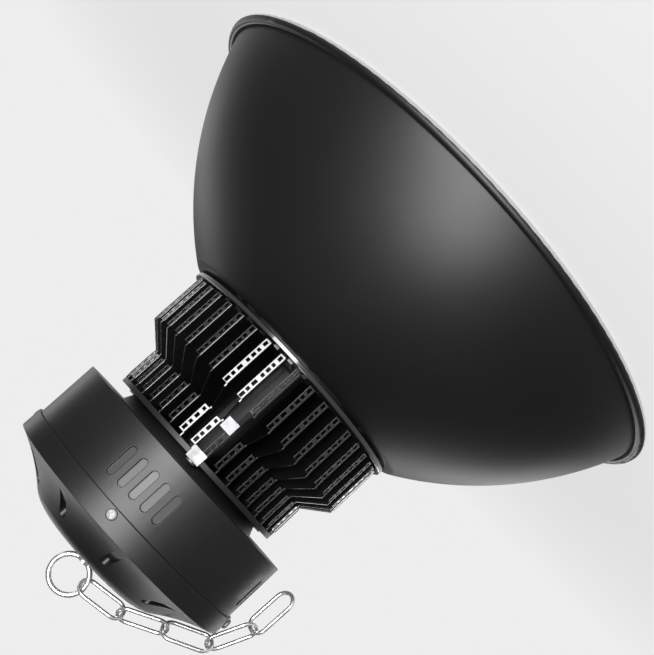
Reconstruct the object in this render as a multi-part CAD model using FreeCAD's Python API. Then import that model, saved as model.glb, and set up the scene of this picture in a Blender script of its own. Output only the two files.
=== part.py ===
"""High bay light with a stamped fin heat sink, a round driver housing and a chain.

Millimetres. The light stands on the rim of its reflector, +Z up to the eye ring.
The origin is the middle of the rim's plane. Front is -Y.
"""

import FreeCAD, Part
import math
import os

# Reflector: a spun bowl on one big arc, with a rolled bead at its mouth
RIM_R = 210.0
BEAD_TUBE_R = 3.5
BEAD_LAP = 1.83898
BOWL_ARC_R = 258.3
SHEET = 1.5
SHOULDER_R = 14.0
BOWL_TOP_Z = 134.5
BOWL_SHOULDER_R = 95.1
BOWL_HOLE_R = 62.0

# Heat sink: base plate, collar bead, core tube, stamped fins, end plate
BASE_R = 90.0
BASE_THICK = 5.5
COLLAR_TALL = 4.0
COLLAR_EDGE_R = 0.8
COLLAR_OUT = 5.7
COLLAR_LIFT = 1.7
LEAD_HOLE_R = 6.0
FIN_COUNT = 42
FIN_FIRST_ANGLE = -85.3
FIN_SHEET = 1.0
FIN_FOLD = 5.1
FIN_BEND_R = 0.8
CORE_R = 34.0
CORE_WALL = 6.0
FIN_OVERHANG = 2.8
FIN_SMALL_R = 75.7
FIN_LARGE_TALL = 42.0
FIN_STEP_TALL = 14.0
FIN_TALL = 83.5
FIN_FOOT_WIDE = 4.0
FIN_FOOT_LONG = 28.0
FIN_FOOT_GAP = 0.5
FIN_RAISE = 1.4
WINDOW_WIDE = 2.4
WINDOW_IN = 1.75
LARGE_FOLD = (1.4, 39.7)
SMALL_FOLD = (57.7, 80.3)
LARGE_WINDOWS = ((4.3, 3.6), (10.1, 2.4), (14.7, 3.4), (19.6, 2.6), (26.6, 4.2), (32.2, 2.8), (37.2, 4.2))
SMALL_WINDOWS = ((60.4, 2.4), (66.5, 3.6), (72.1, 2.6), (77.1, 4.0))
END_PLATE_IN = 0.4
END_PLATE_THICK = 3.8

# Tie straps between the fins, with a clip that holds the end plate
TIE_COUNT = 3
TIE_ANGLE = -89.26
STRAP_TAB_WIDE = 9.0
STRAP_LEG_WIDE = 3.0
STRAP_LEG_GAP = 0.3
STRAP_THICK = 1.3
STRAP_IN = 2.0
STRAP_OUT = 2.5
STRAP_BEND_Z = (41.0, 51.5, 60.5)
CLIP_WIDE = 11.0
CLIP_THICK = 1.5
CLIP_GAP = 0.5
CLIP_DROP = 7.5
CLIP_LAP = 8.7
CLIP_SCREW_IN = 4.7

# Neck, driver housing and cap
NECK_IN = 13.7
NECK_FLARE = 4.0
NECK_WALL = 10.0
NECK_TALL = 8.5
HOUSING_R = 96.0
HOUSING_TALL = 46.0
HOUSING_WALL = 3.5
HOUSING_FLOOR = 3.0
SPIGOT_TALL = 10.2
SPIGOT_GAP = 0.3
SLOT_WIDE = 5.7
SLOT_TALL = 23.4
SLOT_DEEP = 2.2
SLOT_Z = 24.5
SLOT_GROUPS = 4
SLOTS_IN_GROUP = 5
SLOT_PITCH = 6.35
SLOT_CENTRE_ANGLE = -84.3
CAP_SKIRT_OUT = 2.0
CAP_SKIRT_WALL = 2.0
CAP_SKIRT_TALL = 14.7
CAP_RISE = 42.2
CAP_TOP_WALL = 6.0
CAP_EDGE_IN = 11.4
CAP_EDGE_RISE = 19.5
CAP_FLARE_IN = 37.0
CAP_FLARE_RISE = 35.2
CAP_BROW_IN = 43.0
CAP_BROW_RISE = 39.2
CAP_PLATEAU_IN = 54.0
POCKET_COUNT = 10
POCKET_WIDE = 7.0
POCKET_LONG = 33.0
POCKET_MARGIN = 6.0
POCKET_IN_RISE = 27.2
POCKET_OUT_RISE = 17.3
POCKET_ANGLE = -98.0
CAP_SCREW_ANGLE = -84.7
CAP_SCREW_RISE = 4.7
CAP_SCREW_COUNT = 4

# Eye ring, its nuts and washer
EYE_WIRE_R = 2.0
EYE_RING_R = 14.0
EYE_SHANK_R = 5.0
EYE_SHANK_PLAY = 0.2
EYE_LIFT = 19.0
EYE_WASHER_R = 10.0
EYE_WASHER_THICK = 1.3
NUT_FLATS = 16.0
THIN_NUT_TALL = 2.3
INNER_NUT_TALL = 8.0
EYE_SHANK_BELOW = 12.0

# Chain: each link turned 45 degrees, hung from the ring and laid over the cap
LINK_WIRE_R = 1.5
LINK_INNER_LONG = 33.3
LINK_INNER_WIDE = 11.5
LINK_PLAY = 0.8
LINK_TWIST = 45.0
LINK_SLOPES = (10.0, 28.0, 27.0, 66.0, 88.0)

# Lamp inside the reflector
BOARD_IN = 13.0
BOARD_THICK = 2.0
COB_R = 18.0
COB_THICK = 1.5
LENS_IN = 20.0
LENS_FLANGE = 2.0
LENS_RIM = 10.0
LENS_DOME_DEEP = 17.0
LENS_WALL = 3.0
GASKET_WIDE = 7.0
GASKET_THICK = 1.5
LENS_RING_LAP = 6.0
LENS_RING_OUT = 10.0
LENS_RING_THICK = 2.0
LENS_RING_PLAY = 0.5
LENS_SCREW_OUT = 5.0
LENS_SCREW_COUNT = 4
BOWL_SCREW_IN = 5.0
BOWL_SCREW_COUNT = 4

# Driver and wiring inside the housing
DRIVER_LONG = 118.0
DRIVER_DEEP = 62.0
DRIVER_TALL = 30.0
DRIVER_Y = -17.0
BRACKET_GAP = 9.5
BRACKET_DEEP = 96.0
BRACKET_THICK = 1.5
BRACKET_RISE = 3.7
BRACKET_FOOT_LONG = 14.0
BRACKET_FOOT_DEEP = 30.0
TERMINAL_LONG = 40.0
TERMINAL_DEEP = 18.0
TERMINAL_TALL = 16.0
TERMINAL_Y = 31.0
GLAND_BODY_FLATS = 22.0
GLAND_BODY_LONG = 5.0
GLAND_NUT_FLATS = 20.0
GLAND_NUT_LONG = 8.0
GLAND_DOME_R = 9.6
GLAND_DOME_LONG = 7.0
GLAND_MOUTH_R = 6.2
GLAND_THREAD_R = 8.0
GLAND_THREAD_LONG = 6.0
GLAND_BORE_R = 4.5
GLAND_Z = 23.0
LEAD_R = 3.0

# Screws
SCREW_R = 2.0
SCREW_HEAD_R = 3.8
SCREW_HEAD_TALL = 2.4
SCREW_PLAY = 0.2
SCREW_BITE = 3.5
FLOOR_BITE = 2.0

# Radii that follow from the sizes above
BEAD_R = RIM_R - BEAD_TUBE_R
FIN_LARGE_R = BASE_R + FIN_OVERHANG
STRAP_R = BASE_R - STRAP_IN
END_PLATE_R = FIN_SMALL_R - END_PLATE_IN
CLIP_IN_R = FIN_SMALL_R - CLIP_LAP
CLIP_SCREW_R = FIN_SMALL_R - CLIP_SCREW_IN
NECK_FOOT_R = FIN_SMALL_R - NECK_IN
NECK_TOP_R = NECK_FOOT_R + NECK_FLARE
NECK_BORE_R = NECK_FOOT_R - NECK_WALL
CAP_SKIRT_R = HOUSING_R + CAP_SKIRT_OUT
CAP_EDGE_R = CAP_SKIRT_R - CAP_EDGE_IN
CAP_FLARE_R = CAP_SKIRT_R - CAP_FLARE_IN
CAP_BROW_R = CAP_SKIRT_R - CAP_BROW_IN
CAP_PLATEAU_R = CAP_SKIRT_R - CAP_PLATEAU_IN
POCKET_IN_R = CAP_SKIRT_R - POCKET_LONG
POCKET_OUT_R = CAP_SKIRT_R - POCKET_MARGIN
LENS_R = BASE_R - LENS_IN
LENS_DOME_R = LENS_R - LENS_RIM
GASKET_IN_R = LENS_R - GASKET_WIDE
LENS_RING_IN_R = LENS_R - LENS_RING_LAP
LENS_RING_OUT_R = LENS_R + LENS_RING_OUT
LENS_SCREW_R = LENS_R + LENS_SCREW_OUT
BOWL_SCREW_R = BASE_R - BOWL_SCREW_IN
BOARD_R = GASKET_IN_R - BOARD_IN
BRACKET_LONG = 2 * (HOUSING_R - HOUSING_WALL - BRACKET_FOOT_LONG - BRACKET_GAP)

# Heights that follow from the sizes above
BASE_TOP_Z = BOWL_TOP_Z + BASE_THICK
COLLAR_Z = BOWL_TOP_Z + COLLAR_LIFT
END_PLATE_Z = BASE_TOP_Z + FIN_TALL
NECK_Z = END_PLATE_Z + END_PLATE_THICK
HOUSING_Z = NECK_Z + NECK_TALL
SEAM_Z = HOUSING_Z + HOUSING_TALL
CAP_TOP_Z = SEAM_Z + CAP_RISE
EYE_Z = CAP_TOP_Z + EYE_LIFT
FLANGE_UNDER_Z = BOWL_TOP_Z - SHEET
LENS_Z = FLANGE_UNDER_Z - GASKET_THICK - LENS_FLANGE


def vec(x, y, z):
    return FreeCAD.Vector(x, y, z)


ORIGIN = vec(0, 0, 0)
UP = vec(0, 0, 1)


def cylinder(radius, z0, z1, x=0.0, y=0.0):
    return Part.makeCylinder(radius, z1 - z0, vec(x, y, z0))


def ring(outer, inner, z0, z1):
    return cylinder(outer, z0, z1).cut(cylinder(inner, z0, z1))


def box(x0, x1, y0, y1, z0, z1):
    return Part.makeBox(x1 - x0, y1 - y0, z1 - z0, vec(x0, y0, z0))


def turned(shape, angle, axis=UP, centre=ORIGIN):
    copy = shape.copy()
    copy.rotate(centre, axis, angle)
    return copy


def around(shape, count, first=0.0):
    return [turned(shape, first + 360.0 * i / count) for i in range(count)]


def less(shape, tools):
    return shape.cut(list(tools)) if tools else shape


def line(a, b):
    return Part.LineSegment(vec(a[0], 0, a[1]), vec(b[0], 0, b[1])).toShape()


def arc(a, middle, b):
    points = [vec(p[0], 0, p[1]) for p in (a, middle, b)]
    return Part.Arc(*points).toShape()


def spin(edges):
    face = Part.Face(Part.Wire(edges))
    return face.revolve(ORIGIN, UP, 360)


def outline(points):
    ends = points[1:] + points[:1]
    return [line(a, b) for a, b in zip(points, ends)]


def on_circle(centre, radius, angle):
    a = math.radians(angle)
    return (centre[0] + radius * math.cos(a), centre[1] + radius * math.sin(a))


def angle_of(centre, point):
    return math.degrees(math.atan2(point[1] - centre[1], point[0] - centre[0]))


def curve(centre, radius, start, end):
    middle = (start + end) / 2
    points = [on_circle(centre, radius, a) for a in (start, middle, end)]
    return arc(*points)


def screw(radius, head_z, length, angle=0.0):
    """A pan screw at a radius, its head's underside at head_z and its shank below."""
    head = cylinder(SCREW_HEAD_R, head_z, head_z + SCREW_HEAD_TALL, radius)
    shank = cylinder(SCREW_R, head_z - length, head_z, radius)
    return turned(head.fuse(shank).removeSplitter(), angle)


def flipped_screw(radius, head_z, length, angle=0.0):
    """A pan screw driven upward, its head's face at head_z and its shank above."""
    head = cylinder(SCREW_HEAD_R, head_z - SCREW_HEAD_TALL, head_z, radius)
    shank = cylinder(SCREW_R, head_z, head_z + length, radius)
    return turned(head.fuse(shank).removeSplitter(), angle)


def screw_holes(radius, z0, z1, count, first, play=0.0):
    hole = cylinder(SCREW_R + play, z0, z1, radius)
    return around(hole, count, first)


def export(name, shapes):
    solids = shapes if isinstance(shapes, list) else [shapes]
    for solid in solids:
        if not solid.isValid() or len(solid.Solids) != 1:
            raise ValueError(name + " is not one sound solid")
    whole = solids[0].Solids[0] if len(solids) == 1 else Part.makeCompound(solids)
    whole.exportStep("parts/" + name + ".step")


# Reflector and lamp

def bowl_centre():
    """Centre of the bowl's arc, which runs from the bead into the shoulder."""
    foot = (BEAD_R - BEAD_LAP, BEAD_TUBE_R - SHEET)
    blend = (BOWL_SHOULDER_R, BOWL_TOP_Z - SHOULDER_R)
    gap = math.dist(foot, blend)
    to_foot = BOWL_ARC_R
    to_blend = BOWL_ARC_R - SHOULDER_R
    along = (gap ** 2 + to_foot ** 2 - to_blend ** 2) / (2 * gap)
    aside = math.sqrt(to_foot ** 2 - along ** 2)
    way = ((blend[0] - foot[0]) / gap, (blend[1] - foot[1]) / gap)
    return (foot[0] + way[0] * along - way[1] * aside, foot[1] + way[1] * along + way[0] * aside)


def bowl_end(radius, z):
    centre = bowl_centre()
    return math.degrees(math.asin((z - centre[1]) / radius))


def reflector():
    centre = bowl_centre()
    blend = (BOWL_SHOULDER_R, BOWL_TOP_Z - SHOULDER_R)
    meet = angle_of(centre, blend)
    inner_r = BOWL_ARC_R - SHEET
    foot_z = BEAD_TUBE_R - SHEET
    outer_foot = bowl_end(BOWL_ARC_R, foot_z)
    inner_foot = bowl_end(inner_r, foot_z)
    hole_top = (BOWL_HOLE_R, BOWL_TOP_Z)
    hole_low = (BOWL_HOLE_R, FLANGE_UNDER_Z)
    edges = [
        line(hole_low, hole_top),
        line(hole_top, (BOWL_SHOULDER_R, BOWL_TOP_Z)),
        curve(blend, SHOULDER_R, 90, meet),
        curve(centre, BOWL_ARC_R, meet, outer_foot),
        line(on_circle(centre, BOWL_ARC_R, outer_foot), on_circle(centre, inner_r, inner_foot)),
        curve(centre, inner_r, inner_foot, meet),
        curve(blend, SHOULDER_R - SHEET, meet, 90),
        line((BOWL_SHOULDER_R, FLANGE_UNDER_Z), hole_low),
    ]
    bead = Part.makeTorus(BEAD_R, BEAD_TUBE_R, vec(0, 0, BEAD_TUBE_R))
    bowl = spin(edges).fuse(bead).removeSplitter()
    holes = screw_holes(LENS_SCREW_R, FLANGE_UNDER_Z - 1, BOWL_TOP_Z + 1, LENS_SCREW_COUNT, 45, SCREW_PLAY)
    holes += screw_holes(BOWL_SCREW_R, FLANGE_UNDER_Z - 1, BOWL_TOP_Z + 1, BOWL_SCREW_COUNT, 0, SCREW_PLAY)
    return less(bowl, holes)


def base_plate():
    plate = ring(BASE_R, LEAD_HOLE_R, BOWL_TOP_Z, BASE_TOP_Z)
    tapped_z = BOWL_TOP_Z + SCREW_BITE
    holes = screw_holes(LENS_SCREW_R, BOWL_TOP_Z - 1, tapped_z, LENS_SCREW_COUNT, 45)
    holes += screw_holes(BOWL_SCREW_R, BOWL_TOP_Z - 1, tapped_z, BOWL_SCREW_COUNT, 0)
    return less(plate, holes)


def collar_ring():
    out_r = BASE_R + COLLAR_OUT
    top_z = COLLAR_Z + COLLAR_TALL
    edge_r = out_r - COLLAR_EDGE_R
    low_edge = (edge_r, COLLAR_Z + COLLAR_EDGE_R)
    high_edge = (edge_r, top_z - COLLAR_EDGE_R)
    edges = [
        line((BASE_R, COLLAR_Z), (edge_r, COLLAR_Z)),
        curve(low_edge, COLLAR_EDGE_R, -90, 0),
        line((out_r, low_edge[1]), (out_r, high_edge[1])),
        curve(high_edge, COLLAR_EDGE_R, 0, 90),
        line((edge_r, top_z), (BASE_R, top_z)),
        line((BASE_R, top_z), (BASE_R, COLLAR_Z)),
    ]
    return spin(edges)


def led_board():
    return ring(BOARD_R, LEAD_HOLE_R, BOWL_TOP_Z - BOARD_THICK, BOWL_TOP_Z)


def led_cob():
    top = BOWL_TOP_Z - BOARD_THICK
    return cylinder(COB_R, top - COB_THICK, top)


def lens():
    """A shallow glass dish whose flange sits on the gasket, bulging down."""
    depth = LENS_DOME_DEEP
    sphere_r = (LENS_DOME_R ** 2 + depth ** 2) / (2 * depth)
    centre = (0, LENS_Z - depth + sphere_r)
    inner_r = sphere_r - LENS_WALL
    top_z = LENS_Z + LENS_FLANGE
    inner_edge = math.sqrt(inner_r ** 2 - (centre[1] - top_z) ** 2)
    low = angle_of(centre, (LENS_DOME_R, LENS_Z))
    high = angle_of(centre, (inner_edge, top_z))
    edges = [
        line((inner_edge, top_z), (LENS_R, top_z)),
        line((LENS_R, top_z), (LENS_R, LENS_Z)),
        line((LENS_R, LENS_Z), (LENS_DOME_R, LENS_Z)),
        curve(centre, sphere_r, low, -90),
        line((0, LENS_Z - depth), (0, LENS_Z - depth + LENS_WALL)),
        curve(centre, inner_r, -90, high),
    ]
    return spin(edges)


def lens_gasket():
    return ring(LENS_R, GASKET_IN_R, FLANGE_UNDER_Z - GASKET_THICK, FLANGE_UNDER_Z)


def lens_ring():
    low_z = LENS_Z - LENS_RING_THICK
    seat_r = LENS_R + LENS_RING_PLAY
    points = [
        (LENS_RING_IN_R, low_z),
        (LENS_RING_OUT_R, low_z),
        (LENS_RING_OUT_R, FLANGE_UNDER_Z),
        (seat_r, FLANGE_UNDER_Z),
        (seat_r, LENS_Z),
        (LENS_RING_IN_R, LENS_Z),
    ]
    holes = screw_holes(LENS_SCREW_R, low_z - 1, FLANGE_UNDER_Z + 1, LENS_SCREW_COUNT, 45, SCREW_PLAY)
    return less(spin(outline(points)), holes)


def lens_screws():
    low_z = LENS_Z - LENS_RING_THICK
    length = BOWL_TOP_Z + SCREW_BITE - low_z
    return around(flipped_screw(LENS_SCREW_R, low_z, length), LENS_SCREW_COUNT, 45)


def reflector_screws():
    length = BOWL_TOP_Z + SCREW_BITE - FLANGE_UNDER_Z
    return around(flipped_screw(BOWL_SCREW_R, FLANGE_UNDER_Z, length), BOWL_SCREW_COUNT)


# Heat sink

def flange_windows(radius, windows):
    x0 = radius - 2 * FIN_SHEET
    x1 = radius + FIN_SHEET
    tools = []
    for middle, tall in windows:
        z0 = BASE_TOP_Z + middle - tall / 2
        tools.append(box(x0, x1, WINDOW_IN, WINDOW_IN + WINDOW_WIDE, z0, z0 + tall))
    return tools


def folded_flange(radius, span, windows):
    z0, z1 = (BASE_TOP_Z + rise for rise in span)
    flange = box(radius - FIN_SHEET, radius, 0, FIN_FOLD, z0, z1)
    return less(flange, flange_windows(radius, windows))


def bend_corner(radius, span):
    """What the bend's round takes off the square corner of a fold."""
    z0, z1 = (BASE_TOP_Z + rise for rise in span)
    corner = box(radius - FIN_BEND_R, radius, 0, FIN_BEND_R, z0, z1)
    return corner.cut(cylinder(FIN_BEND_R, z0, z1, radius - FIN_BEND_R, FIN_BEND_R))


def fin():
    """One stamped sheet: web, a folded flange on each tier, and a foot lug."""
    step_z = BASE_TOP_Z + FIN_LARGE_TALL
    profile = [
        (CORE_R, BASE_TOP_Z),
        (BASE_R - FIN_RAISE, BASE_TOP_Z),
        (BASE_R, BASE_TOP_Z + FIN_RAISE),
        (FIN_LARGE_R, BASE_TOP_Z + FIN_RAISE),
        (FIN_LARGE_R, step_z),
        (FIN_SMALL_R, step_z + FIN_STEP_TALL),
        (FIN_SMALL_R, END_PLATE_Z),
        (CORE_R, END_PLATE_Z),
    ]
    face = Part.Face(Part.Wire(outline(profile)))
    web = face.extrude(vec(0, FIN_SHEET, 0))
    foot_r = STRAP_R - FIN_FOOT_GAP
    foot = box(foot_r - FIN_FOOT_LONG, foot_r, -FIN_FOOT_WIDE, 0, BASE_TOP_Z, BASE_TOP_Z + FIN_SHEET)
    pieces = [
        folded_flange(FIN_LARGE_R, LARGE_FOLD, LARGE_WINDOWS),
        folded_flange(FIN_SMALL_R, SMALL_FOLD, SMALL_WINDOWS),
        foot,
    ]
    corners = [bend_corner(FIN_LARGE_R, LARGE_FOLD), bend_corner(FIN_SMALL_R, SMALL_FOLD)]
    return web.fuse(pieces).removeSplitter().cut(corners)


def heat_sink_fins():
    first = FIN_FIRST_ANGLE
    return around(fin(), FIN_COUNT, first)


def core_tube():
    return ring(CORE_R, CORE_R - CORE_WALL, BASE_TOP_Z, END_PLATE_Z)


def end_plate():
    plate = ring(END_PLATE_R, LEAD_HOLE_R, END_PLATE_Z, NECK_Z)
    holes = screw_holes(CLIP_SCREW_R, END_PLATE_Z, NECK_Z + 1, TIE_COUNT, TIE_ANGLE)
    holes += screw_holes(housing_screw_r(), END_PLATE_Z, NECK_Z + 1, TIE_COUNT, TIE_ANGLE + 60)
    return less(plate, holes)


def strap_path():
    low, bend, top = (BASE_TOP_Z + rise for rise in STRAP_BEND_Z)
    out_r = FIN_SMALL_R + STRAP_OUT
    return [(STRAP_R, BASE_TOP_Z), (STRAP_R, low), (out_r, bend), (out_r, top)]


def strap_strip(inner, y0, wide):
    outer = [(r + STRAP_THICK, z) for r, z in inner]
    face = Part.Face(Part.Wire(outline(inner + outer[::-1])))
    strip = face.extrude(vec(0, wide, 0))
    strip.translate(vec(0, y0, 0))
    return strip


def strap_leg_side():
    """Where the leg's side clears the web of the fin next to it."""
    pitch = 360.0 / FIN_COUNT
    past_fin = (TIE_ANGLE - FIN_FIRST_ANGLE) % pitch
    near_r = min(STRAP_R, FIN_SMALL_R + STRAP_OUT)
    return FIN_SHEET + STRAP_LEG_GAP - near_r * math.sin(math.radians(past_fin))


def tie_strap():
    """A narrow leg beside a fin, bent in over the step, with a wide tab on top."""
    path = strap_path()
    leg = strap_strip(path, strap_leg_side(), STRAP_LEG_WIDE)
    tab = strap_strip(path[-2:], -STRAP_TAB_WIDE / 2, STRAP_TAB_WIDE)
    return leg.fuse(tab).removeSplitter()


def tie_straps():
    return around(tie_strap(), TIE_COUNT, TIE_ANGLE)


def foot_clip():
    inner_r = FIN_SMALL_R + CLIP_GAP
    outer_r = inner_r + CLIP_THICK
    half = CLIP_WIDE / 2
    wall = box(inner_r, outer_r, -half, half, NECK_Z - CLIP_DROP, NECK_Z + CLIP_THICK)
    lid = box(CLIP_IN_R, outer_r, -half, half, NECK_Z, NECK_Z + CLIP_THICK)
    hole = cylinder(SCREW_R + SCREW_PLAY, NECK_Z - 1, NECK_Z + CLIP_THICK + 1, CLIP_SCREW_R)
    return wall.fuse(lid).removeSplitter().cut(hole)


def foot_clips():
    return around(foot_clip(), TIE_COUNT, TIE_ANGLE)


def clip_screws():
    one = screw(CLIP_SCREW_R, NECK_Z + CLIP_THICK, CLIP_THICK + SCREW_BITE)
    return around(one, TIE_COUNT, TIE_ANGLE)


# Neck, driver housing and cap

def housing_screw_r():
    return (NECK_BORE_R + NECK_FOOT_R) / 2


def neck_spacer():
    points = [
        (NECK_BORE_R, NECK_Z),
        (NECK_FOOT_R, NECK_Z),
        (NECK_TOP_R, HOUSING_Z),
        (NECK_BORE_R, HOUSING_Z),
    ]
    holes = screw_holes(housing_screw_r(), NECK_Z - 1, HOUSING_Z + 1, TIE_COUNT, TIE_ANGLE + 60, SCREW_PLAY)
    return less(spin(outline(points)), holes)


def radial_slot(z, wide, tall, r0, r1):
    """An upright slot with round ends, running out along +X."""
    reach = (tall - wide) / 2
    body = box(r0, r1, -wide / 2, wide / 2, z - reach, z + reach)
    ends = [Part.makeCylinder(wide / 2, r1 - r0, vec(r0, 0, z + s * reach), vec(1, 0, 0)) for s in (-1, 1)]
    return body.fuse(ends).removeSplitter()


def side_hole(radius, z, r0, r1):
    return Part.makeCylinder(radius, r1 - r0, vec(r0, 0, z), vec(1, 0, 0))


def housing_slots():
    slot = radial_slot(HOUSING_Z + SLOT_Z, SLOT_WIDE, SLOT_TALL, HOUSING_R - SLOT_DEEP, HOUSING_R + SLOT_DEEP)
    tools = []
    for i in range(SLOTS_IN_GROUP):
        offset = (i - (SLOTS_IN_GROUP - 1) / 2) * SLOT_PITCH
        tools += around(slot, SLOT_GROUPS, SLOT_CENTRE_ANGLE + offset)
    return tools


def spigot_r():
    return CAP_SKIRT_R - CAP_SKIRT_WALL - SPIGOT_GAP


def driver_housing():
    """A round can with blind slots, whose mouth stands up inside the cap's skirt."""
    inner = HOUSING_R - HOUSING_WALL
    points = [
        (LEAD_HOLE_R, HOUSING_Z),
        (HOUSING_R, HOUSING_Z),
        (HOUSING_R, SEAM_Z),
        (spigot_r(), SEAM_Z),
        (spigot_r(), SEAM_Z + SPIGOT_TALL),
        (inner, SEAM_Z + SPIGOT_TALL),
        (inner, floor_z()),
        (LEAD_HOLE_R, floor_z()),
    ]
    top = floor_z()
    holes = screw_holes(housing_screw_r(), HOUSING_Z - 1, top + 1, TIE_COUNT, TIE_ANGLE + 60, SCREW_PLAY)
    holes += screw_holes(bracket_screw_r(), top - FLOOR_BITE, top + 1, 2, 0)
    side = side_hole(SCREW_R, SEAM_Z + CAP_SCREW_RISE, inner - 1, HOUSING_R)
    holes += around(side, CAP_SCREW_COUNT, CAP_SCREW_ANGLE)
    gland = side_hole(GLAND_THREAD_R, HOUSING_Z + GLAND_Z, inner - 1, HOUSING_R + 1)
    return less(spin(outline(points)), housing_slots() + holes + [turned(gland, 90)])


def housing_screws():
    one = screw(housing_screw_r(), floor_z(), floor_z() - NECK_Z + SCREW_BITE)
    return around(one, TIE_COUNT, TIE_ANGLE + 60)


def cap_pocket():
    """A radial pocket with a round inner end and a floor that falls outward."""
    inner = POCKET_IN_R + POCKET_WIDE / 2
    reach = CAP_SKIRT_R + POCKET_WIDE
    fall = (POCKET_IN_RISE - POCKET_OUT_RISE) / (POCKET_OUT_R - POCKET_IN_R)
    low = SEAM_Z + POCKET_IN_RISE - fall * (reach - POCKET_IN_R)
    plan = cylinder(POCKET_WIDE / 2, low, CAP_TOP_Z, inner)
    plan = plan.fuse(box(inner, reach, -POCKET_WIDE / 2, POCKET_WIDE / 2, low, CAP_TOP_Z))
    above = [
        (0, SEAM_Z + POCKET_IN_RISE + fall * POCKET_IN_R),
        (reach + 1, low - fall),
        (reach + 1, CAP_TOP_Z + 1),
        (0, CAP_TOP_Z + 1),
    ]
    slab = Part.Face(Part.Wire(outline(above))).extrude(vec(0, 2 * POCKET_WIDE, 0))
    slab.translate(vec(0, -POCKET_WIDE, 0))
    return plan.removeSplitter().common(slab)


def cap():
    """Skirt, flare and plateau, with pockets on the flare and a bolt hole on top."""
    skirt_in = CAP_SKIRT_R - CAP_SKIRT_WALL
    skirt_z = SEAM_Z + CAP_SKIRT_TALL
    edge = (CAP_EDGE_R, SEAM_Z + CAP_EDGE_RISE)
    flare = (CAP_FLARE_R, SEAM_Z + CAP_FLARE_RISE)
    brow = (CAP_BROW_R, SEAM_Z + CAP_BROW_RISE)
    shelf_z = SEAM_Z + SPIGOT_TALL + SPIGOT_GAP
    under_z = CAP_TOP_Z - CAP_TOP_WALL
    hole_r = EYE_SHANK_R + EYE_SHANK_PLAY
    edges = [
        line((CAP_SKIRT_R, SEAM_Z), (CAP_SKIRT_R, skirt_z)),
        arc((CAP_SKIRT_R, skirt_z), edge, flare),
        arc(flare, brow, (CAP_PLATEAU_R, CAP_TOP_Z)),
        line((CAP_PLATEAU_R, CAP_TOP_Z), (hole_r, CAP_TOP_Z)),
        line((hole_r, CAP_TOP_Z), (hole_r, under_z)),
        line((hole_r, under_z), (CAP_PLATEAU_R, under_z)),
        line((CAP_PLATEAU_R, under_z), (skirt_in - 2 * CAP_SKIRT_WALL, shelf_z)),
        line((skirt_in - 2 * CAP_SKIRT_WALL, shelf_z), (skirt_in, shelf_z)),
        line((skirt_in, shelf_z), (skirt_in, SEAM_Z)),
        line((skirt_in, SEAM_Z), (CAP_SKIRT_R, SEAM_Z)),
    ]
    pockets = around(cap_pocket(), POCKET_COUNT, POCKET_ANGLE)
    side = side_hole(SCREW_R + SCREW_PLAY, SEAM_Z + CAP_SCREW_RISE, skirt_in - 1, CAP_SKIRT_R + 1)
    return less(spin(edges), pockets + around(side, CAP_SCREW_COUNT, CAP_SCREW_ANGLE))


def cap_screws():
    z = SEAM_Z + CAP_SCREW_RISE
    head = side_hole(SCREW_HEAD_R, z, CAP_SKIRT_R, CAP_SKIRT_R + SCREW_HEAD_TALL)
    shank = side_hole(SCREW_R, z, HOUSING_R - HOUSING_WALL - 3, CAP_SKIRT_R)
    return around(head.fuse(shank).removeSplitter(), CAP_SCREW_COUNT, CAP_SCREW_ANGLE)


# Eye ring and chain

def eye_ring_bolt():
    eye = Part.makeTorus(EYE_RING_R, EYE_WIRE_R, vec(0, 0, EYE_Z), vec(0, 1, 0))
    foot_z = CAP_TOP_Z - CAP_TOP_WALL - EYE_SHANK_BELOW
    shank = cylinder(EYE_SHANK_R, foot_z, EYE_Z - EYE_RING_R + EYE_WIRE_R)
    return eye.fuse(shank).removeSplitter()


def hex_prism(flats, z0, z1):
    corner = flats / math.sqrt(3)
    points = [vec(*on_circle((0, 0), corner, 60 * i), z0) for i in range(7)]
    return Part.Face(Part.makePolygon(points)).extrude(vec(0, 0, z1 - z0))


def hex_nut(z0, z1):
    return hex_prism(NUT_FLATS, z0, z1).cut(cylinder(EYE_SHANK_R, z0, z1))


def eye_bolt_nuts():
    seat_z = CAP_TOP_Z + EYE_WASHER_THICK
    under_z = CAP_TOP_Z - CAP_TOP_WALL
    return [hex_nut(seat_z, seat_z + THIN_NUT_TALL), hex_nut(under_z - INNER_NUT_TALL, under_z)]


def eye_bolt_washer():
    return ring(EYE_WASHER_R, EYE_SHANK_R + EYE_SHANK_PLAY, CAP_TOP_Z, CAP_TOP_Z + EYE_WASHER_THICK)


def chain_pitch():
    return LINK_INNER_LONG - LINK_PLAY


def chain_points():
    """The points where the ring and the links bear on each other, first to last."""
    x, z = on_circle((0, EYE_Z), EYE_RING_R - EYE_WIRE_R, 180 + LINK_SLOPES[0])
    points = [(x, z)]
    for slope in LINK_SLOPES:
        x, z = on_circle((x, z), chain_pitch(), 180 + slope)
        points.append((x, z))
    return points


def flat_link():
    """An oval of round wire along +X, its inner ends either side of the origin."""
    bend_r = LINK_INNER_WIDE / 2 + LINK_WIRE_R
    half = LINK_INNER_LONG / 2 - LINK_INNER_WIDE / 2
    path = [
        Part.LineSegment(vec(-half, bend_r, 0), vec(half, bend_r, 0)).toShape(),
        Part.Arc(vec(half, bend_r, 0), vec(half + bend_r, 0, 0), vec(half, -bend_r, 0)).toShape(),
        Part.LineSegment(vec(half, -bend_r, 0), vec(-half, -bend_r, 0)).toShape(),
        Part.Arc(vec(-half, -bend_r, 0), vec(-half - bend_r, 0, 0), vec(-half, bend_r, 0)).toShape(),
    ]
    section = Part.Wire(Part.makeCircle(LINK_WIRE_R, vec(-half, bend_r, 0), vec(1, 0, 0)))
    return Part.Wire(path).makePipeShell([section], True, False)


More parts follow.
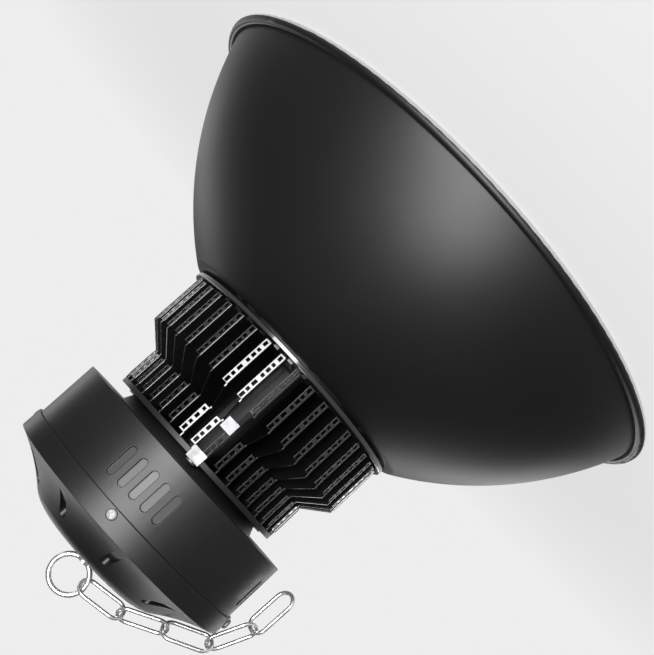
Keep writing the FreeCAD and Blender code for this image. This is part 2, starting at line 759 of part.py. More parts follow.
def chain_link(index):
    points = chain_points()
    (x0, z0), (x1, z1) = points[index], points[index + 1]
    link = flat_link()
    twist = LINK_TWIST if index % 2 == 0 else -LINK_TWIST
    link.rotate(ORIGIN, vec(1, 0, 0), twist)
    link.rotate(ORIGIN, vec(0, 1, 0), -math.degrees(math.atan2(z1 - z0, x1 - x0)))
    link.translate(vec((x0 + x1) / 2, 0, (z0 + z1) / 2))
    return link


# Driver and wiring

def floor_z():
    return HOUSING_Z + HOUSING_FLOOR


def driver_deck_z():
    return floor_z() + BRACKET_RISE + BRACKET_THICK


def bracket_screw_r():
    return (BRACKET_LONG + BRACKET_FOOT_LONG) / 2


def driver_bracket():
    """A bent plate on two feet, standing over the housing's screws."""
    z = floor_z()
    half = BRACKET_LONG / 2
    deep = BRACKET_DEEP / 2
    foot_deep = BRACKET_FOOT_DEEP / 2
    foot_top = z + BRACKET_THICK
    plate = box(-half, half, -deep, deep, driver_deck_z() - BRACKET_THICK, driver_deck_z())
    leg = box(half - BRACKET_THICK, half, -foot_deep, foot_deep, z, driver_deck_z())
    foot = box(half - BRACKET_THICK, half + BRACKET_FOOT_LONG, -foot_deep, foot_deep, z, foot_top)
    side = leg.fuse(foot)
    bent = plate.fuse(around(side, 2)).removeSplitter()
    holes = screw_holes(bracket_screw_r(), z - 1, foot_top + 1, 2, 0, SCREW_PLAY)
    holes.append(cylinder(LEAD_HOLE_R, z, driver_deck_z() + 1))
    return less(bent, holes)


def on_deck(long, deep, tall, y):
    z = driver_deck_z()
    return box(-long / 2, long / 2, y - deep / 2, y + deep / 2, z, z + tall)


def driver_module():
    return on_deck(DRIVER_LONG, DRIVER_DEEP, DRIVER_TALL, DRIVER_Y)


def terminal_block():
    return on_deck(TERMINAL_LONG, TERMINAL_DEEP, TERMINAL_TALL, TERMINAL_Y)


def driver_screws():
    one = screw(bracket_screw_r(), floor_z() + BRACKET_THICK, BRACKET_THICK + FLOOR_BITE)
    return around(one, 2)


def cable_gland():
    """A hexagon body on the housing's wall, a compression nut and its domed end."""
    nut_foot = GLAND_BODY_LONG
    nut_top = nut_foot + GLAND_NUT_LONG
    mouth = nut_top + GLAND_DOME_LONG
    inside = HOUSING_WALL + GLAND_THREAD_LONG
    bulge_r = (GLAND_DOME_R + GLAND_MOUTH_R) / 2 + 1
    dome = spin([
        line((0, nut_top), (GLAND_DOME_R, nut_top)),
        arc((GLAND_DOME_R, nut_top), (bulge_r, nut_top + GLAND_DOME_LONG * 0.6), (GLAND_MOUTH_R, mouth)),
        line((GLAND_MOUTH_R, mouth), (0, mouth)),
        line((0, mouth), (0, nut_top)),
    ])
    body = hex_prism(GLAND_BODY_FLATS, 0, nut_foot)
    nut = hex_prism(GLAND_NUT_FLATS, nut_foot, nut_top)
    thread = cylinder(GLAND_THREAD_R, -inside, 0)
    gland = body.fuse([nut, dome, thread]).removeSplitter()
    gland = gland.cut(cylinder(GLAND_BORE_R, -inside - 1, mouth + 1))
    gland.rotate(ORIGIN, vec(1, 0, 0), -90)
    gland.translate(vec(0, HOUSING_R, HOUSING_Z + GLAND_Z))
    return gland


def internal_lead():
    """The lead from the driver down the core tube to the lamp's board."""
    return cylinder(LEAD_R, BOWL_TOP_Z - BOARD_THICK, driver_deck_z())


PIECES = {
    "reflector": reflector,
    "base_plate": base_plate,
    "collar_ring": collar_ring,
    "led_board": led_board,
    "led_cob": led_cob,
    "lens": lens,
    "lens_gasket": lens_gasket,
    "lens_ring": lens_ring,
    "lens_screws": lens_screws,
    "reflector_screws": reflector_screws,
    "heat_sink_fins": heat_sink_fins,
    "core_tube": core_tube,
    "end_plate": end_plate,
    "tie_straps": tie_straps,
    "foot_clips": foot_clips,
    "clip_screws": clip_screws,
    "neck_spacer": neck_spacer,
    "driver_housing": driver_housing,
    "housing_screws": housing_screws,
    "cap": cap,
    "cap_screws": cap_screws,
    "eye_ring_bolt": eye_ring_bolt,
    "eye_bolt_nuts": eye_bolt_nuts,
    "eye_bolt_washer": eye_bolt_washer,
    "driver_module": driver_module,
    "driver_bracket": driver_bracket,
    "driver_screws": driver_screws,
    "terminal_block": terminal_block,
    "cable_gland": cable_gland,
    "internal_lead": internal_lead,
}

os.makedirs("parts", exist_ok=True)
for name, make in PIECES.items():
    export(name, make())
for number in range(len(LINK_SLOPES)):
    export("chain_link_" + str(number + 1), chain_link(number))
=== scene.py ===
# %% [markdown]
# # A high bay light, finished in Blender
# The light is a black spun bowl under a stack of stamped fins, with a round driver
# housing, a cap, an eye ring and a short chain. Its solids come from the CAD frame at
# their real size and place, so this script only adds finishes, small hardware, light
# and a camera.

# %% Load the frame
import math

import bmesh
import bpy
from mathutils import Matrix, Vector


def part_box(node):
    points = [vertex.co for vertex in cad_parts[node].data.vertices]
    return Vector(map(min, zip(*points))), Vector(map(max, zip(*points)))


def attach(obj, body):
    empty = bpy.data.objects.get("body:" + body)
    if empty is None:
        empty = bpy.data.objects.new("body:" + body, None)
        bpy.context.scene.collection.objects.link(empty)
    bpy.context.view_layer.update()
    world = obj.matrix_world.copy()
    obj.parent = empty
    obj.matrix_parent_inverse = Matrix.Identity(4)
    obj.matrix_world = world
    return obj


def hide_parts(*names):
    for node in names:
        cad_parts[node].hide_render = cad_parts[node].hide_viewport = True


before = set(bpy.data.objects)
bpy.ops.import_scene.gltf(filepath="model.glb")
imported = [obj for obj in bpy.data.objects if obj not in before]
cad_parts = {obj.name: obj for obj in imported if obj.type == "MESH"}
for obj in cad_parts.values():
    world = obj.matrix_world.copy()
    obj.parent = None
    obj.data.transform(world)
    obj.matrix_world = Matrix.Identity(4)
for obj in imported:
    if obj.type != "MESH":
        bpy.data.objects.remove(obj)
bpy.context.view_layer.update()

print("nodes", len(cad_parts))

# %% [markdown]
# ## A small kit for shader maths
# A material is a graph, and graphs are slow to read. The first class below wraps one
# socket, so that `1 - mask * 0.5` writes the Math nodes by itself. Colours go through Mix
# instead, because a Math node would turn a colour grey. The second class holds the tree
# and adds every other kind of node through one method, and the third is a material.

# %% The socket wrapper
class Wire:
    """One output socket of a shader graph, with arithmetic that adds nodes."""

    def __init__(self, graph, socket):
        self.graph = graph
        self.socket = socket

    def maths(self, operation, *values):
        ports = dict(enumerate(values))
        return self.graph.add("ShaderNodeMath", {"operation": operation}, ports)

    def __add__(self, other):
        return self.maths("ADD", self, other)

    def __radd__(self, other):
        return self.maths("ADD", other, self)

    def __sub__(self, other):
        return self.maths("SUBTRACT", self, other)

    def __rsub__(self, other):
        return self.maths("SUBTRACT", other, self)

    def __mul__(self, other):
        return self.maths("MULTIPLY", self, other)

    def __rmul__(self, other):
        return self.maths("MULTIPLY", other, self)

    def __gt__(self, other):
        return self.maths("GREATER_THAN", self, other)

    def __lt__(self, other):
        return self.maths("LESS_THAN", self, other)

    def __pow__(self, other):
        return self.maths("POWER", self, other)

    def larger(self, other):
        return self.maths("MAXIMUM", self, other)


# %% [markdown]
# ## Helpers for nodes that come up again and again
# A noise's values crowd round its middle, so `wander` stretches that middle over the whole
# range of a roughness. `reach` is the distance from the light's own axis, which picks out
# parts of a turned shape. `soft_edge` rounds an edge for the light alone, and leaves the
# mesh as it is.

# %% Graphs and finishes
NOISE_LOW = 0.3
NOISE_HIGH = 0.7
BEVEL_SAMPLES = 6


class Graph:
    """A tree of shader nodes."""

    def __init__(self, tree):
        self.tree = tree

    def put(self, node, port, value):
        if isinstance(value, Wire):
            self.tree.links.new(value.socket, node.inputs[port])
        else:
            node.inputs[port].default_value = value

    def add(self, kind, settings=None, ports=None, out=0):
        """Adds any node: its settings first, then its sockets' values or links."""
        node = self.tree.nodes.new(kind)
        for key, value in (settings or {}).items():
            setattr(node, key, value)
        for port, value in (ports or {}).items():
            self.put(node, port, value)
        return Wire(self, node.outputs[out])

    def place(self):
        return self.add("ShaderNodeTexCoord", out="Object")

    def facing(self):
        return self.add("ShaderNodeTexCoord", out="Normal")

    def ray(self, kind):
        return self.add("ShaderNodeLightPath", out=f"Is {kind} Ray")

    def split(self, vector, axis):
        return self.add("ShaderNodeSeparateXYZ", None, {0: vector}, axis)

    def reach(self, place):
        """The distance from the light's axis, which is the Z axis."""
        x, y = (self.split(place, axis) for axis in "XY")
        return (x * x + y * y) ** 0.5

    def noise(self, scale, detail=2.0, place=None, roughness=0.5):
        ports = {"Vector": place or self.place(), "Scale": scale}
        ports["Detail"] = detail
        ports["Roughness"] = roughness
        return self.add("ShaderNodeTexNoise", None, ports, "Fac")

    def between(self, value, low, high, to_low=0.0, to_high=1.0):
        ports = {"Value": value, "From Min": low, "From Max": high}
        ports["To Min"] = to_low
        ports["To Max"] = to_high
        return self.add("ShaderNodeMapRange", None, ports)

    def wander(self, noise, low, high):
        """A value that drifts between two limits as a noise does."""
        return self.between(noise, NOISE_LOW, NOISE_HIGH, low, high)

    def blend(self, factor, a, b):
        """One colour where the factor is 0 and the other where it is 1."""
        ports = {0: factor, 6: a, 7: b}
        return self.add("ShaderNodeMix", {"data_type": "RGBA"}, ports, 2)

    def mix(self, factor, a, b):
        """The same for whole shaders."""
        return self.add("ShaderNodeMixShader", None, {0: factor, 1: a, 2: b})

    def bump(self, height, strength, distance, normal=None):
        ports = {"Height": height, "Strength": strength, "Distance": distance}
        if normal:
            ports["Normal"] = normal
        return self.add("ShaderNodeBump", None, ports, "Normal")

    def soft_edge(self, radius):
        settings = {"samples": BEVEL_SAMPLES}
        return self.add("ShaderNodeBevel", settings, {"Radius": radius})


class Finish(Graph):
    """A material whose surface is one Principled shader."""

    def __init__(self, name):
        self.material = bpy.data.materials.new(name)
        self.material.use_nodes = True
        super().__init__(self.material.node_tree)
        self.shader = self.tree.nodes["Principled BSDF"]
        self.output = self.tree.nodes["Material Output"]

    def surface(self, **sockets):
        for name, value in sockets.items():
            self.put(self.shader, name.replace("_", " "), value)
        return self.material


def grey(value, tint=0.0):
    """A near neutral colour, a little bluer when the tint is above nought."""
    return (value * (1 - tint), value, value * (1 + tint), 1.0)


# %% [markdown]
# ## Satin black paint
# The flat black parts are sprayed a deep black that dries with a faint orange peel. A
# plain colour with one roughness would do from far away, but it looks like plastic close
# up. So a wide, slow noise moves the roughness, a finer one mottles the colour, and the
# finest is the peel. All three stay weak, because the real paint looks plain from arm's
# length.

# %% Satin black
CLOUD = 14.0
DUST = 160.0
PEEL = 900.0
PEEL_STRENGTH = 0.08
PEEL_DEEP = 0.0002


def peel(finish, normal):
    grain = finish.noise(PEEL)
    return finish.bump(grain, PEEL_STRENGTH, PEEL_DEEP, normal)


def satin_black():
    finish = Finish("satin_black_paint")
    cloud = finish.noise(CLOUD, 3.0)
    dust = finish.noise(DUST, 4.0)
    return finish.surface(
        Base_Color=finish.blend(dust, grey(0.0028), grey(0.004375, 0.03)),
        Roughness=finish.wander(cloud, 0.41, 0.48),
        Specular_IOR_Level=0.45,
        Normal=peel(finish, finish.soft_edge(0.0006)),
    )


satin = satin_black()
print("finish", satin.name)

# %% [markdown]
# ## The housing and its slots
# The housing and the cap wear the same paint, a little smoother. The housing's blind slots
# are different: a spray thins out inside them, so a grey sheen of metal shows on their
# floors. A second material on the slots' faces would mean editing the CAD mesh. A mask does
# it without: the floors lie deeper than the wall, so the distance from the axis picks them
# out, between two heights.

# %% Housing and cap paint
SLOT_FLOOR_R = 0.0942
SLOT_FLOOR_BAND = 0.0006
SLOT_LOW = 0.010
SLOT_HIGH = 0.040


def slot_floors(finish):
    """1 on the floors of the blind slots and 0 everywhere else."""
    place = finish.place()
    reach = finish.reach(place)
    z = finish.split(place, "Z")
    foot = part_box("driver_housing")[0][2]
    in_wall = (reach > SLOT_FLOOR_R - SLOT_FLOOR_BAND) * (reach < SLOT_FLOOR_R)
    return in_wall * (z > foot + SLOT_LOW) * (z < foot + SLOT_HIGH)


def housing_paint():
    finish = Finish("cast_satin_black")
    floor = slot_floors(finish)
    cloud = finish.noise(CLOUD, 3.0)
    dust = finish.noise(DUST, 4.0)
    black = finish.blend(dust, grey(0.0028), grey(0.0044, 0.03))
    return finish.surface(
        Base_Color=finish.blend(floor, black, grey(0.055)),
        Roughness=finish.wander(cloud, 0.36, 0.43),
        Metallic=floor,
        Specular_IOR_Level=0.5,
        Normal=peel(finish, finish.soft_edge(0.0007)),
    )


cast_satin = housing_paint()
print("finish", cast_satin.name)

# %% [markdown]
# ## The bowl: black outside, bright inside
# The bowl is one spun sheet of aluminium, painted on its outside only, so one material has
# to know the two sides apart. The normal of the outside leans away from the axis and that
# of the inside leans towards it, and the sign of that lean is the mask. The rolled bead
# turns right round, so the lean says nothing there. On the bead, what faces down is bare.
# Spinning leaves fine rings, which are a noise that knows only radius and height.

# %% Bowl material
BEAD_TOP = 0.0068
FACES_DOWN = -0.35
LIP_FACES_DOWN = -0.12


def bare_side(finish, place):
    """1 on the bowl's bare metal and 0 on its paint."""
    facing = finish.facing()
    x, y, z = (finish.split(place, axis) for axis in "XYZ")
    nx, ny, nz = (finish.split(facing, axis) for axis in "XYZ")
    above_bead = z > BEAD_TOP
    leans_in = x * nx + y * ny < 0.0
    inner = leans_in.larger(nz < FACES_DOWN) * above_bead
    lip = (nz < LIP_FACES_DOWN) * (1 - above_bead)
    return inner.larger(lip)


def bowl_finish():
    finish = Finish("spun_bowl")
    place = finish.place()
    inside = bare_side(finish, place)
    ports = {0: finish.reach(place), 1: finish.split(place, "Z")}
    rings = finish.add("ShaderNodeCombineXYZ", None, ports)
    turning = finish.noise(700.0, 4.0, rings, 0.7)
    cloud = finish.noise(9.0, 3.0)
    black = finish.blend(cloud, grey(0.0030), grey(0.0045, 0.04))
    silver = finish.blend(turning, grey(0.62), grey(0.78))
    paint_rough = finish.wander(cloud, 0.41, 0.46)
    metal_rough = finish.between(turning, 0.2, 0.8, 0.24, 0.36)
    lines = finish.bump(turning, 0.05, 0.0003)
    grain = finish.noise(700.0) * (1 - inside)
    return finish.surface(
        Base_Color=finish.blend(inside, black, silver),
        Roughness=paint_rough * (1 - inside) + metal_rough * inside,
        Metallic=inside,
        Specular_IOR_Level=0.46,
        Normal=finish.bump(grain, 0.06, 0.0002, lines),
    )


bowl_paint = bowl_finish()
print("finish", bowl_paint.name)

# %% [markdown]
# ## Gloss black on the fins
# The stamped fins are dipped, so they carry a thin, wet-looking coat. A low roughness alone
# gives one flat mirror. A coat layer over a duller base is nearer to lacquer: the coat
# makes the sharp white glints, and softened edges catch a bright line along each fold.

# %% Gloss black
def gloss_black():
    finish = Finish("gloss_black_fins")
    cloud = finish.noise(60.0, 3.0)
    edge = finish.soft_edge(0.0005)
    wave = finish.noise(120.0, 1.0)
    return finish.surface(
        Base_Color=finish.blend(cloud, grey(0.003), grey(0.006, 0.03)),
        Roughness=finish.wander(cloud, 0.16, 0.26),
        Coat_Weight=0.7,
        Coat_Roughness=0.06,
        Normal=finish.bump(wave, 0.05, 0.0004, edge),
    )


fin_gloss = gloss_black()
print("finish", fin_gloss.name)

# %% [markdown]
# ## Bare and plated metals
# Zinc plate is a pale grey with faint spangle, and the ring and chain are brighter and
# smoother. One recipe serves them all, since the look of a metal comes mostly from its
# tone and from roughness that wanders. The spangle says how fine the patches are.

# %% Metals
FINE_SPANGLE = 9.0


def bare_metal(name, tone, roughness, spangle, edge=0.0004, metal=1.0):
    finish = Finish(name)
    patches = finish.noise(spangle, 3.0)
    fine = finish.noise(spangle * FINE_SPANGLE)
    return finish.surface(
        Base_Color=finish.blend(patches, grey(tone * 0.82), grey(tone, 0.02)),
        Roughness=finish.wander(patches, roughness * 0.75, roughness * 1.3),
        Metallic=metal,
        Normal=finish.bump(fine, 0.05, 0.0001, finish.soft_edge(edge)),
    )


zinc = bare_metal("zinc_plate", 0.36, 0.56, 90.0)
plated = bare_metal("bright_plate", 0.82, 0.20, 140.0, edge=0.0002, metal=0.85)
aluminium = bare_metal("turned_aluminium", 0.74, 0.32, 70.0)
driver_metal = bare_metal("driver_case", 0.60, 0.38, 50.0)
print("metals", zinc.name, plated.name, aluminium.name, driver_metal.name)

# %% [markdown]
# ## A strap with painted shade on its leg
# The strap's leg, down between the fins, is painted near black: painted shade that stands
# in for the shade falling there. Only the tabs on top show bare metal. Height alone tells
# the two apart, so one comparison makes the whole mask.

# %% Strap, painted shade below and bare on top
TAB_FOOT = 0.1912


def strap_finish():
    finish = Finish("strap_painted_shade_leg")
    tab = finish.split(finish.place(), "Z") > TAB_FOOT
    patches = finish.noise(260.0, 3.0)
    bare = finish.blend(patches, grey(0.12), grey(0.32, 0.02))
    return finish.surface(
        # The near black below TAB_FOOT is painted shade for the gap between the fins.
        Base_Color=finish.blend(tab, grey(0.014), bare),
        Roughness=finish.wander(patches, 0.38, 0.58),
        Metallic=tab,
        Normal=finish.bump(patches, 0.12, 0.0002, finish.soft_edge(0.0004)),
    )


strap_metal = strap_finish()
print("finish", strap_metal.name)

# %% [markdown]
# ## Glass, rubber and plastics
# The lens is pressed glass over the chip: it lets all light through, and a slow ripple
# keeps it from looking machined. The small plastics share one recipe, a dull body colour
# with a little mottling and a fine moulded grain.

# %% Glass and plastics
def lens_glass():
    finish = Finish("pressed_glass")
    ripple = finish.noise(30.0, 1.0)
    return finish.surface(
        Base_Color=(0.93, 0.97, 0.98, 1.0),
        Roughness=0.04,
        IOR=1.47,
        Transmission_Weight=1.0,
        Normal=finish.bump(ripple, 0.04, 0.0005),
    )


def moulded(name, low, high, roughness):
    finish = Finish(name)
    mottle = finish.noise(80.0, 3.0)
    grain = finish.noise(1500.0, 1.0)
    return finish.surface(
        Base_Color=finish.blend(mottle, low, high),
        Roughness=finish.wander(mottle, roughness - 0.05, roughness + 0.05),
        Normal=finish.bump(grain, 0.1, 0.0001, finish.soft_edge(0.0004)),
    )


DEEP_YELLOW = (0.82, 0.58, 0.06, 1.0)
PALE_YELLOW = (0.90, 0.68, 0.10, 1.0)

glass = lens_glass()
seal = moulded("silicone_seal", grey(0.52), grey(0.62), 0.6)
black_nylon = moulded("black_nylon", grey(0.014), grey(0.022), 0.42)
pale_nylon = moulded("pale_nylon", grey(0.66), grey(0.74), 0.45)
board_white = moulded("white_board", grey(0.74), grey(0.82), 0.5)
phosphor = moulded("yellow_phosphor", DEEP_YELLOW, PALE_YELLOW, 0.55)
lead_sheath = moulded("lead_sheath", grey(0.02), grey(0.03), 0.5)
print("materials so far", len(bpy.data.materials))

# %% [markdown]
# ## Dress the CAD nodes
# One table says which finish each node wears. Assigning to the material slots is the only
# thing done to a CAD object, since its mesh and place are fixed. The core tube wears the
# satin black as painted shade, which darkens the gaps between the fins.

# %% Finish for every node
WEARS = {
    "reflector": bowl_paint,
    "base_plate": satin,
    "collar_ring": fin_gloss,
    "led_board": board_white,
    "led_cob": phosphor,
    "lens": glass,
    "lens_gasket": seal,
    "lens_ring": aluminium,
    "lens_screws": zinc,
    "reflector_screws": zinc,
    "heat_sink_fins": fin_gloss,
    # Painted shade: the core tube is black so that the gaps between the fins read dark.
    "core_tube": satin,
    "end_plate": satin,
    "tie_straps": strap_metal,
    "foot_clips": zinc,
    "clip_screws": zinc,
    "neck_spacer": satin,
    "driver_housing": cast_satin,
    "housing_screws": zinc,
    "cap": cast_satin,
    "cap_screws": zinc,
    "eye_ring_bolt": plated,
    "eye_bolt_nuts": plated,
    "eye_bolt_washer": plated,
    "driver_module": driver_metal,
    "driver_bracket": zinc,
    "driver_screws": zinc,
    "terminal_block": pale_nylon,
    "cable_gland": black_nylon,
    "internal_lead": lead_sheath,
}
LINKS = [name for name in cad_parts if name.startswith("chain_link_")]
WEARS.update({name: plated for name in LINKS})


def dress(name, material):
    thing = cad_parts[name]
    thing.data.materials.clear()
    thing.data.materials.append(material)


for node_name, node_finish in WEARS.items():
    dress(node_name, node_finish)
print("dressed", len(WEARS), "of", len(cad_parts))

# %% [markdown]
# ## Tools for small hardware
# The CAD screws are plain cylinders. A real pan head is a low dome with a cross sunk in
# it, and it is a turned part, so it starts as a profile spun round its own axis. The cross
# could be faked with a dark texture, but a boolean cuts a real one that catches the light.

# %% Mesh helpers
def lathe(bm, profile, steps):
    """Spins radius and height pairs round Z. The first and last lie on the axis."""
    rows = []
    for radius, height in profile:
        count = 1 if radius == 0 else steps
        row = []
        for i in range(count):
            a = math.tau * i / steps
            place = (radius * math.cos(a), radius * math.sin(a), height)
            row.append(bm.verts.new(place))
        rows.append(row)
    for low, high in zip(rows, rows[1:]):
        for i in range(steps):
            j = (i + 1) % steps
            loop = (low[i % len(low)], low[j % len(low)])
            loop += (high[j % len(high)], high[i % len(high)])
            corners = [v for k, v in enumerate(loop) if v not in loop[:k]]
            if len(corners) > 2:
                bm.faces.new(corners)


def add_box(bm, size, place=(0, 0, 0), turn=0.0):
    made = bmesh.ops.create_cube(bm, size=1.0)
    spin = Matrix.Rotation(turn, 4, "Z")
    move = Matrix.Translation(place) @ spin @ Matrix.Diagonal((*size, 1.0))
    bmesh.ops.transform(bm, matrix=move, verts=made["verts"])


def to_mesh(name, build):
    bm = bmesh.new()
    build(bm)
    bmesh.ops.recalc_face_normals(bm, faces=bm.faces)
    mesh = bpy.data.meshes.new(name)
    bm.to_mesh(mesh)
    bm.free()
    return mesh


def carve(body, tool):
    """The first mesh less the second, as a new mesh. The tool may cross itself."""
    block = bpy.data.objects.new("carve_block", body)
    knife = bpy.data.objects.new("carve_knife", tool)
    for thing in (block, knife):
        bpy.context.scene.collection.objects.link(thing)
    cut = block.modifiers.new("cut", "BOOLEAN")
    cut.object = knife
    cut.solver = "EXACT"
    cut.use_self = True
    bpy.context.view_layer.update()
    graph = bpy.context.evaluated_depsgraph_get()
    result = bpy.data.meshes.new_from_object(block.evaluated_get(graph))
    for thing in (block, knife):
        bpy.data.objects.remove(thing)
    return result


# %% [markdown]
# ## A pan head with a cross
# The head has a short upright rim and a dome over it. The dome's cosine is raised to a
# power below one, which fattens its shoulder as pressing does. Two crossed bars cut the
# recess, and edges sharper than 35 degrees stay crisp while the dome is shaded smooth.

# %% One screw
HEAD_R = 0.0038
HEAD_TALL = 0.0024
HEAD_STEPS = 40
RIM_SHARE = 0.42
FOOT_SHARE = 0.985
FOOT_TALL = 0.00015
DOME_STEPS = 8
DOME_POWER = 0.8
SHANK_R = 0.0019
CROSS_LONG = 0.0040
CROSS_WIDE = 0.0009
CROSS_DEEP = 0.0013
SHARP_ANGLE = math.radians(35.0)


def pan_profile(shank):
    rim = HEAD_TALL * RIM_SHARE
    dome = []
    for i in range(1, DOME_STEPS):
        a = math.pi / 2 * i / DOME_STEPS
        height = rim + (HEAD_TALL - rim) * math.sin(a)
        dome.append((HEAD_R * math.cos(a) ** DOME_POWER, height))
    stem = [(0, -shank), (SHANK_R, -shank), (SHANK_R, 0.0)]
    skirt = [(HEAD_R * FOOT_SHARE, 0.0), (HEAD_R, FOOT_TALL), (HEAD_R, rim)]
    return stem + skirt + dome + [(0, HEAD_TALL)]


def cross_tool(bm):
    for turn in (0.0, math.pi / 2):
        size = (CROSS_LONG, CROSS_WIDE, 2 * CROSS_DEEP)
        add_box(bm, size, (0, 0, HEAD_TALL), turn)


def cross_screw(shank):
    def build(bm):
        lathe(bm, pan_profile(shank), HEAD_STEPS)

    return carve(to_mesh("pan_blank", build), to_mesh("cross", cross_tool))


def smooth(mesh):
    for face in mesh.polygons:
        face.use_smooth = True
    bm = bmesh.new()
    bm.from_mesh(mesh)
    for edge in bm.edges:
        if len(edge.link_faces) == 2 and edge.calc_face_angle(0.0) > SHARP_ANGLE:
            edge.smooth = False
    bm.to_mesh(mesh)
    bm.free()


print("pan head", len(pan_profile(0.007)), "profile points")

# %% [markdown]
# ## Heads where the CAD screws are
# A node such as the cap screws holds several separate solids in one mesh. Walking along
# its edges from any corner finds one solid at a time, and the solid's outer corners say
# where the head sits. So no position is typed in twice, and a change in the CAD moves the
# heads too. The solids are sorted by their angle round the axis, because a script has to
# give the same screw the same name in every run.

# %% Find each solid
JOIN_WITHIN = 1e-6
ANGLE_DIGITS = 3


def turn_of(place):
    """The angle round Z from 0 to a full turn, rounded so that 0 stays 0."""
    return round(math.atan2(place.y, place.x), ANGLE_DIGITS) % math.tau


def solids_of(node_name):
    """The lowest and highest corners of each solid in a node, and all its points."""
    bm = bmesh.new()
    bm.from_mesh(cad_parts[node_name].data)
    bmesh.ops.remove_doubles(bm, verts=bm.verts, dist=JOIN_WITHIN)
    seen = set()
    solids = []
    for start in bm.verts:
        if start in seen:
            continue
        seen.add(start)
        stack = [start]
        group = []
        while stack:
            vert = stack.pop()
            group.append(vert.co.copy())
            for edge in vert.link_edges:
                other = edge.other_vert(vert)
                if other not in seen:
                    seen.add(other)
                    stack.append(other)
        low = Vector([min(p[k] for p in group) for k in range(3)])
        high = Vector([max(p[k] for p in group) for k in range(3)])
        solids.append((low, high, group))
    bm.free()
    return sorted(solids, key=lambda solid: turn_of(solid[0] + solid[1]))


print("cap screws", len(solids_of("cap_screws")))


# %% [markdown]
# ## Set the screws
# The heads on the cap point in at the axis, and all the others stand upright or hang from
# above. Both kinds need only a seat and a direction, so each has a short function that
# works those out, and one more sets the screws and says which CAD node they stand for.
# Each screw stops at its own angle, since nobody lines the crosses up.

# %% Place the heads
UPRIGHT_TWIST = (0.4, 1.3)
SIDE_TWIST = (0.5, 0.9)


def upright_seat(low, high, head_up):
    middle = (low + high) / 2
    z = high.z - HEAD_TALL if head_up else low.z + HEAD_TALL
    return Vector((middle.x, middle.y, z)), Vector((0, 0, 1 if head_up else -1))


def side_seat(low, high, group):
    middle = (low + high) / 2
    way = Vector((middle.x, middle.y, 0)).normalized()
    top = max(Vector((p.x, p.y, 0)).dot(way) for p in group)
    seat = way * (top - HEAD_TALL)
    seat.z = middle.z
    return seat, way


def set_screw(name, blank, seat, way, twist):
    turn = way.to_track_quat("Z", "X").to_matrix().to_4x4()
    mesh = blank.copy()
    mesh.transform(Matrix.Translation(seat) @ turn @ Matrix.Rotation(twist, 4, "Z"))
    mesh.materials.append(zinc)
    smooth(mesh)
    piece = bpy.data.objects.new(name, mesh)
    bpy.context.scene.collection.objects.link(piece)
    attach(piece, "light")
    return piece


def set_screws(node_name, shank, find_seat, twist):
    """Cross-head screws in place of a node's plain ones."""
    blank = cross_screw(shank)
    first, step = twist
    pieces = []
    for i, solid in enumerate(solids_of(node_name)):
        seat, way = find_seat(*solid)
        name = node_name + "_cross_" + str(i + 1)
        pieces.append(set_screw(name, blank, seat, way, first + step * i))
    for piece in pieces:
        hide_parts(node_name)
    print(node_name, len(pieces), "heads")


def head_up(low, high, group):
    return upright_seat(low, high, True)


def head_down(low, high, group):
    return upright_seat(low, high, False)


set_screws("cap_screws", 0.007, side_seat, SIDE_TWIST)
set_screws("clip_screws", 0.005, head_up, UPRIGHT_TWIST)
set_screws("lens_screws", 0.010, head_down, UPRIGHT_TWIST)
set_screws("reflector_screws", 0.005, head_down, UPRIGHT_TWIST)

# %% [markdown]
# ## Floor and backdrop
# The light stands on a pale floor. Lighting a floor until it turns white would burn out
# the object too. So the camera sees the floor mostly as one flat tone, mixed with a little
# real shading near the light so that its shadow stays. The world has that same tone for
# the camera, which hides the horizon, and reflections see part of both.

# %% Floor and world
PALE = (0.85, 0.85, 0.855, 1.0)
SKY = (0.94, 0.97, 1.0, 1.0)
FLOOR_HALF = 8.0
FLOOR_THICK = 0.01
SHADOW_NEAR = 0.30
SHADOW_FAR = 0.80
FLAT_NEAR = 0.80
FLOOR_IN_METAL = 0.6
WORLD_LIGHT = 0.08
WORLD_IN_METAL = 0.05


def floor_material():
    finish = Finish("pale_floor")
    finish.surface(Base_Color=grey(0.72), Roughness=0.9)
    glow = finish.add("ShaderNodeEmission", None, {"Color": PALE, "Strength": 1.0})
    reach = finish.reach(finish.place())
    flat = finish.between(reach, SHADOW_NEAR, SHADOW_FAR, FLAT_NEAR, 1.0)
    in_metal = finish.ray("Glossy") * FLOOR_IN_METAL
    shown = (finish.ray("Camera") * flat).larger(in_metal)
    shaded = Wire(finish, finish.shader.outputs[0])
    finish.put(finish.output, "Surface", finish.mix(shown, shaded, glow))
    return finish.material


def build_floor(bm):
    size = (2 * FLOOR_HALF, 2 * FLOOR_HALF, FLOOR_THICK)
    add_box(bm, size, (0, 0, -FLOOR_THICK / 2))


def build_world():
    world = bpy.data.worlds.new("studio")
    world.use_nodes = True
    graph = Graph(world.node_tree)
    back = graph.tree.nodes["Background"]
    graph.put(back, "Color", SKY)
    graph.put(back, "Strength", WORLD_LIGHT)
    lit = Wire(graph, back.outputs[0])
    seen = graph.add("ShaderNodeBackground", None, {"Color": PALE})
    shown = graph.ray("Glossy") * WORLD_IN_METAL + graph.ray("Camera")
    output = graph.tree.nodes["World Output"]
    graph.put(output, "Surface", graph.mix(shown, lit, seen))
    bpy.context.scene.world = world


floor = bpy.data.objects.new("floor", to_mesh("floor", build_floor))
floor.data.materials.append(floor_material())
bpy.context.scene.collection.objects.link(floor)
build_world()
print("floor", 2 * FLOOR_HALF, "metres square")

# %% [markdown]
# ## Lamps
# Black paint shows almost nothing of its own colour. What shows is the reflection of the
# lamps, so they are softboxes of a chosen size. A low one beside the camera paints the
# white glints on the fins, and one above it gives the bowl its blurred sheen. Two cards
# behind the light, one on each side, and one more above draw its outline against the pale
# backdrop.

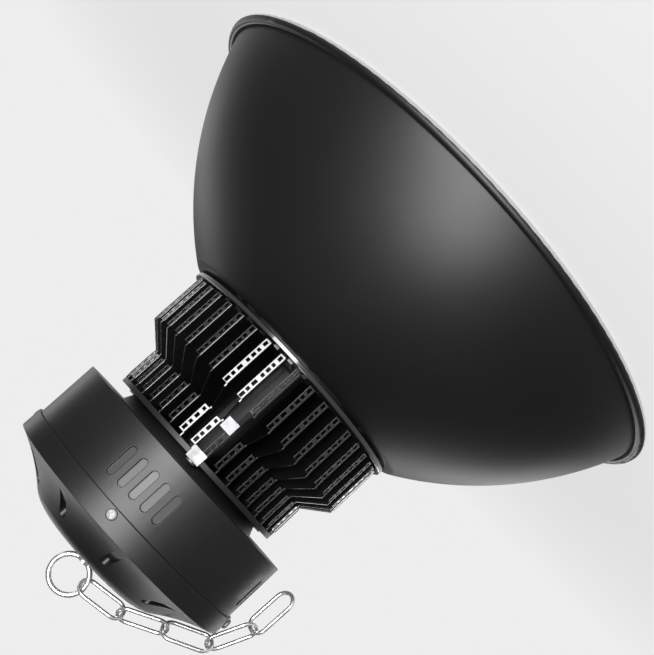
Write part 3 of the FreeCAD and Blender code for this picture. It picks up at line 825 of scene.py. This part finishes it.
# %% Softboxes
def softbox(name, azimuth, height, distance, size, power, aim_z):
    """A rectangular lamp. Azimuth 0 is in front, and it turns towards +X."""
    lamp = bpy.data.lights.new(name, "AREA")
    lamp.shape = "RECTANGLE"
    lamp.size, lamp.size_y = size
    lamp.energy = power
    thing = bpy.data.objects.new(name, lamp)
    a = math.radians(azimuth)
    thing.location = (distance * math.sin(a), -distance * math.cos(a), height)
    aim = Vector((0, 0, aim_z)) - thing.location
    thing.rotation_euler = aim.to_track_quat("-Z", "Y").to_euler()
    bpy.context.scene.collection.objects.link(thing)


#        name         azimuth  height  distance  size          power  aim_z
softbox("key",        15.5,    0.17,   1.12,     (0.54, 0.33), 10.5,  0.16)
softbox("upper_key",  1.0,     0.62,   1.15,     (0.50, 0.42), 10.5,  0.10)
softbox("left_card",  -145.0,  0.50,   1.50,     (0.50, 1.00), 3.2,   0.20)
softbox("right_card", 140.0,   0.50,   1.50,     (0.50, 1.00), 2.2,   0.20)
softbox("back_card",  180.0,   1.25,   1.60,     (1.20, 0.80), 4.0,   0.20)
print("lamps", len(bpy.data.lights))

# %% [markdown]
# ## Camera
# The camera stands in front, a little above the fins, and is rolled far over, so that the
# light lies across the picture with its ring at the lower left. Rolling the camera is
# simpler than laying the light down, and leaves the CAD frame where it is. Three unit
# vectors, to the right, up and back, are the columns of the camera's matrix.

# %% Camera
EYE = Vector((0.0, -0.8411, 0.2229))
YAW = math.radians(0.41)
PITCH = math.radians(-8.69)
ROLL = math.radians(-132.31)
SENSOR_WIDE = 36.0
FOCAL_LENGTH = 65.0


def build_camera():
    data = bpy.data.cameras.new("camera")
    data.sensor_fit = "HORIZONTAL"
    data.sensor_width = SENSOR_WIDE
    data.lens = FOCAL_LENGTH
    camera = bpy.data.objects.new("camera", data)
    level = math.cos(PITCH)
    ahead = Vector((math.sin(YAW) * level, math.cos(YAW) * level, math.sin(PITCH)))
    side = ahead.cross(Vector((0, 0, 1))).normalized()
    top = side.cross(ahead)
    right = math.cos(ROLL) * side + math.sin(ROLL) * top
    up = math.cos(ROLL) * top - math.sin(ROLL) * side
    turn = Matrix((right, up, -ahead)).transposed().to_4x4()
    camera.matrix_world = Matrix.Translation(EYE) @ turn
    bpy.context.scene.collection.objects.link(camera)
    bpy.context.scene.camera = camera
    print("camera", FOCAL_LENGTH, "mm lens at", tuple(EYE))


build_camera()
bpy.context.scene.view_settings.view_transform = "Standard"
